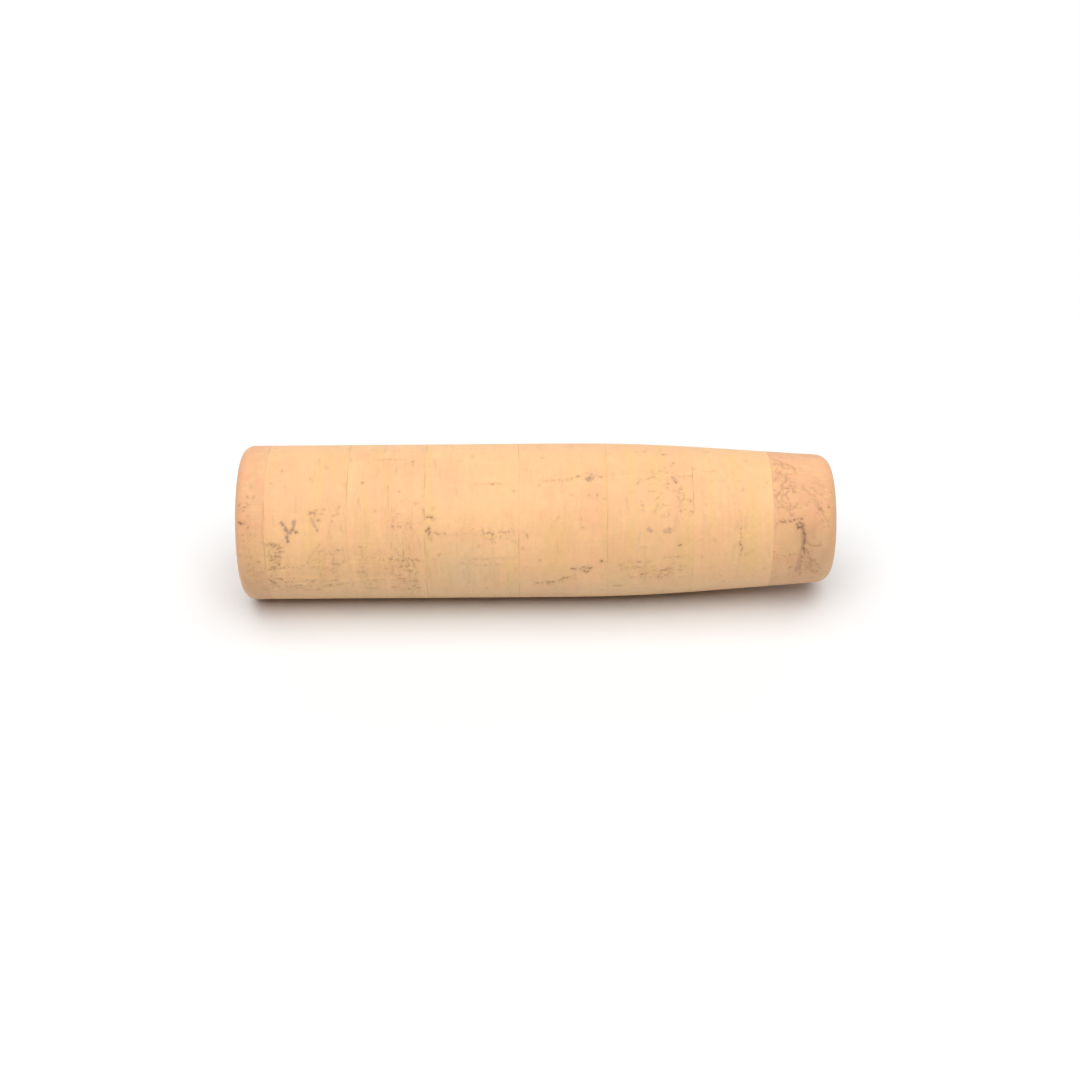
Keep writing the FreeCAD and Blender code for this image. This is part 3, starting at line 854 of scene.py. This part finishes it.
# per disc: how pink, how light, how strong the growth bands are and how strong the specks are
CORK_LOOKS = {
    "butt_disc": (1.00, 0.93, 0.5, 0.6),
    "cork_ring_1": (0.50, 1.00, 0.8, 1.0),
    "cork_ring_2": (0.40, 1.00, 1.6, 0.8),
    "cork_ring_3": (0.30, 1.02, 1.1, 0.4),
    "cork_ring_4": (0.60, 1.01, 1.0, 0.4),
    "cork_ring_5": (0.40, 1.00, 0.6, 0.7),
    "cork_ring_6": (0.40, 1.01, 0.7, 0.3),
    "nose_ring": (1.15, 0.89, 0.5, 0.8),
}


def cork_material(node, index):
    """Natural cork: growth bands across the barrel, channels and specks along it, patches and fine grain."""
    pink, light, bands, specks = CORK_LOOKS[node]
    s = Shade(f"cork_{node}", offset=(31.0 * index, 17.0 * index, 5.0 * index))
    drift = s.node("TexNoise", {"Vector": s.mm, "Scale": 1 / 5.0, "Detail": 3.0, "Roughness": 0.55})
    sway = s.stretch(drift.outputs["Color"], (2.4, 0.0, 0.0))
    across = s.vector("ADD", s.stretch(s.mm, (1.0, 0.09, 0.09)), sway)
    growth = s.noise(across, 2.2, 3.0, 0.6)
    fine_growth = s.noise(across, 0.5, 3.0, 0.65)
    channel = s.noise(s.stretch(s.mm, (0.09, 1.0, 1.0)), 0.8, 3.0, 0.6)
    patch = s.noise(s.stretch(s.mm, (1.0, 0.4, 0.4)), 3.6, 4.0, 0.6)
    cloud = s.noise(s.mm, 5.0, 4.0, 0.6)
    mottle = s.noise(s.mm, 1.3, 5.0, 0.7)
    grain = s.noise(s.mm, 0.26, 3.0, 0.6)

    pinkness = s.math("ADD", s.math("MULTIPLY", patch, 0.6), s.math("MULTIPLY", cloud, 0.4))
    warm = s.remap(pinkness, 0.44, 0.60, 0.4 * pink - 0.15, pink)
    colour = s.mix(s.math("ADD", warm, s.attribute("pinker")), CORK_TAN, CORK_PINK)
    yellow = s.remap(growth, 0.48, 0.36, 0.0, 0.8 - 0.6 * pink)
    colour = s.mix(yellow, colour, CORK_YELLOW)
    # olive patches, and painted bounce light from the floor that makes the lower side olive
    colour = s.mix(s.attribute("olive_and_painted_bounce"), colour, CORK_OLIVE_AND_BOUNCE)

    # thin grey-brown growth lines that come and go round the barrel
    line = s.remap(fine_growth, 0.56, 0.66)
    line = s.math("MULTIPLY", line, s.remap(cloud, 0.40, 0.60, 0.25, 1.0))
    colour = s.mix(s.math("MULTIPLY", line, 0.38 * bands), colour, CORK_GREY)

    # pale yellow streaks along the barrel, where the cut follows a channel
    streak = s.math("MULTIPLY", s.remap(channel, 0.56, 0.64), s.remap(mottle, 0.42, 0.56))
    streak = s.math("MULTIPLY", streak, s.remap(s.attribute("speckled"), 0.0, 1.0, 0.2, 1.0))
    streak = s.math("MAXIMUM", streak, s.attribute("pale"))
    colour = s.mix(s.math("MULTIPLY", streak, 0.7), colour, CORK_YELLOW)

    level = s.sum(light, (growth, 0.18 * bands), (fine_growth, 0.12 * bands), (mottle, 0.20), (grain, 0.12))
    level = s.math("ADD", level, s.math("MULTIPLY", streak, 0.08))
    level = s.math("ADD", level, s.attribute("lighter"))
    colour = s.scale(colour, level)

    # specks, in rows along the channels
    cells = s.node("TexVoronoi", {"Vector": s.vector("ADD", s.mm, sway), "Scale": 2.3, "Randomness": 1.0})
    rows = s.math("MULTIPLY", channel, s.remap(cloud, 0.35, 0.65, 0.8, 1.15))
    size = s.remap(rows, 0.50, 0.66, 0.0, 0.42)
    speck = s.remap(s.math("SUBTRACT", size, cells.outputs["Distance"]), 0.0, 0.12)
    speck = s.math("MULTIPLY", speck, s.remap(grain, 0.3, 0.6, 0.2, 0.75))
    speck = s.math("MULTIPLY", speck, s.attribute("speckled"))
    colour = s.mix(s.math("MULTIPLY", speck, specks), colour, CORK_SPECK)

    # the marks that are pressed into the mesh: tanned cork round them, bruises and dark crumbs in them
    tanned = s.math("MULTIPLY", s.attribute("aura"), s.remap(mottle, 0.35, 0.60, 0.25, 0.85))
    colour = s.mix(tanned, colour, CORK_AURA)
    bruised = s.math("MULTIPLY", s.attribute("stain"), s.remap(grain, 0.3, 0.6, 0.35, 0.85))
    colour = s.mix(bruised, colour, CORK_BRUISE)
    crumbly = s.math("MULTIPLY", s.attribute("dark"), s.remap(grain, 0.25, 0.65, 0.6, 1.1))
    colour = s.mix(crumbly, colour, CORK_DARK)

    roughness = s.sum(0.62, (grain, 0.2), (mottle, 0.1))
    bump = s.sum(0.0, (grain, 0.7), (fine_growth, 0.4), (mottle, 0.8), (speck, -1.2))
    return s.finish(colour, roughness, bump, 0.03, Specular_IOR_Level=0.35, Sheen_Weight=0.12)


def beech_material():
    """Beech: growth rings and pores on the end grain, rays and fine flecks on the sides."""
    s = Shade("beech_core", offset=(0, 9.0, -3.0))
    section = s.stretch(s.mm, (0.0, 1.0, 1.0))
    radial = s.node("VectorMath", {0: section}, operation="LENGTH").outputs["Value"]
    sway = s.math("MULTIPLY", s.noise(s.mm, 4.0), 1.6)
    ring = s.math("FRACT", s.math("DIVIDE", s.math("ADD", radial, sway), 1.7))
    late = s.remap(ring, 0.55, 0.98)
    pores = s.node("TexVoronoi", {"Vector": s.stretch(s.mm, (0.06, 1.0, 1.0)), "Scale": 3.4})
    pore = s.remap(pores.outputs["Distance"], 0.22, 0.10)
    rays = s.remap(s.noise(s.stretch(s.mm, (0.25, 0.35, 1.6)), 0.6, 2.0), 0.56, 0.70)
    fibre = s.noise(s.stretch(s.mm, (0.05, 1.0, 1.0)), 0.25, 3.0)
    colour = s.mix(late, (0.52, 0.33, 0.18), (0.36, 0.20, 0.10))
    colour = s.mix(s.math("MULTIPLY", rays, 0.45), colour, (0.62, 0.42, 0.25))
    colour = s.mix(s.math("MULTIPLY", pore, 0.7), colour, (0.12, 0.06, 0.03))
    colour = s.scale(colour, s.sum(1.0, (fibre, 0.25)))
    bump = s.sum(0.0, (fibre, 0.5), (pore, -0.8))
    return s.finish(colour, s.sum(0.5, (fibre, 0.2)), bump, 0.03, Specular_IOR_Level=0.4)


def plated_material():
    """Bright nickel plate on rolled sheet: faint draw lines and small dull patches."""
    s = Shade("nickel_plate")
    lines = s.noise(s.stretch(s.mm, (0.12, 1.0, 1.0)), 0.12, 3.0)
    cloud = s.noise(s.mm, 1.8, 4.0, 0.6)
    colour = s.mix(s.remap(cloud, 0.45, 0.7), (0.80, 0.76, 0.69), (0.70, 0.65, 0.57))
    roughness = s.sum(0.24, (lines, 0.10), (cloud, 0.16))
    return s.finish(colour, roughness, lines, 0.004, Metallic=1.0)


def spring_material():
    """Bare spring steel strip: rolled grain along the strip and a faint straw tint."""
    s = Shade("spring_steel")
    grain = s.noise(s.stretch(s.mm, (0.08, 1.0, 1.0)), 0.09, 3.0)
    tint = s.noise(s.mm, 2.2, 3.0, 0.6)
    colour = s.mix(s.remap(tint, 0.4, 0.7), (0.50, 0.49, 0.47), (0.46, 0.40, 0.32))
    return s.finish(colour, s.sum(0.36, (grain, 0.2)), grain, 0.004, Metallic=1.0)


def floor_material():
    """Plain white paper with a hint of tooth."""
    s = Shade("white_paper")
    tooth = s.noise(s.mm, 0.6, 2.0)
    colour = s.mix(tooth, (0.765, 0.765, 0.765), (0.775, 0.775, 0.775))
    return s.finish(colour, 0.9, tooth, 0.01, Specular_IOR_Level=0.0)


# ---------------------------------------------------------------- the object

drawn = drawn_marks()
for index, node in enumerate(CORK_NODES):
    low, high = ends_of(node)
    marks = [mark for mark in drawn if low < mark.chain[0][0] < high]
    marks += scattered_marks(low - BUTT, high - BUTT, seed=100 + index)
    if node == "butt_disc":
        marks += face_marks(low, 0.0, OUTLINE[0, 1], seed=201)
    if node == "nose_ring":
        marks += face_marks(high, CORE_RADIUS, OUTLINE[-1, 1], seed=202)
    disc = make_disc(node, index, marks)
    disc.data.materials.append(cork_material(node, index))
    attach(disc, "root")
    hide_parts(node)

for node, material in (
    ("core_dowel", beech_material()),
    ("nib_ferrule", plated_material()),
    ("nib_clip", spring_material()),
):
    cad_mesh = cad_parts[node].data
    cad_mesh.materials.clear()
    cad_mesh.materials.append(material)


# ---------------------------------------------------------------- stage, light and camera

FLOOR_HALF = 2.6
FLOOR_CORNERS = np.array([(-1, -1, 0), (1, -1, 0), (1, 1, 0), (-1, 1, 0)]) * FLOOR_HALF
floor = make_mesh("floor", FLOOR_CORNERS, [(0, 1, 2, 3)], [False])
floor.data.materials.append(floor_material())

SKY_LIGHT = 0.17


def add_sky():
    """A white light tent, dim as a light and plain white where the camera sees it directly."""
    world = bpy.data.worlds.new("light_tent")
    world.use_nodes = True
    tree = world.node_tree
    background = tree.nodes["Background"]
    background.inputs["Color"].default_value = (1.0, 1.0, 1.0, 1.0)
    seen = tree.nodes.new("ShaderNodeLightPath").outputs["Is Camera Ray"]
    strength = tree.nodes.new("ShaderNodeMath")
    strength.operation = "MAXIMUM"
    strength.inputs[1].default_value = SKY_LIGHT
    tree.links.new(seen, strength.inputs[0])
    tree.links.new(strength.outputs["Value"], background.inputs["Strength"])
    bpy.context.scene.world = world


add_sky()
bpy.context.scene.view_settings.view_transform = "Standard"

BOX_DISTANCE = 3.2
BOX_LENGTH = 4.8


def add_softbox(name, height, width, power):
    """A softbox parallel to the barrel, at a height in degrees: 0 in front, 90 overhead, 180 behind."""
    angle = math.radians(height)
    away = Vector((0, -math.cos(angle), math.sin(angle)))
    light = bpy.data.objects.new(name, bpy.data.lights.new(name, "AREA"))
    light.data.shape = "RECTANGLE"
    light.data.size = BOX_LENGTH
    light.data.size_y = width
    light.data.energy = power
    light.location = away * BOX_DISTANCE + Vector((0, 0, AXIS_HEIGHT * MM))
    light.rotation_euler = away.to_track_quat("Z", "Y").to_euler()
    light.visible_camera = False
    bpy.context.scene.collection.objects.link(light)


add_softbox("front_box", height=60, width=2.4, power=112.0)
add_softbox("top_box", height=98, width=2.0, power=64.0)
add_softbox("back_box", height=155, width=1.6, power=27.0)


def add_camera():
    """The camera on the -Y side, looking down at the barrel, its own up axis almost square to it."""
    rise = math.radians(CAMERA_ELEVATION)
    back = Vector((0, -math.cos(rise), math.sin(rise)))
    up = Vector((0, math.sin(rise), math.cos(rise)))
    right = Vector((1, 0, 0))
    target = Vector((0, 0, AXIS_HEIGHT)) + right * AIM_RIGHT + up * AIM_UP
    camera = bpy.data.objects.new("camera", bpy.data.cameras.new("camera"))
    camera.data.lens = LENS
    camera.data.clip_start = 0.01
    axes = Matrix((right, up, back)).transposed() @ Matrix.Rotation(math.radians(-CAMERA_ROLL), 3, "Z")
    camera.matrix_world = Matrix.Translation((target + back * CAMERA_DISTANCE) * MM) @ axes.to_4x4()
    bpy.context.scene.collection.objects.link(camera)
    bpy.context.scene.camera = camera


add_camera()
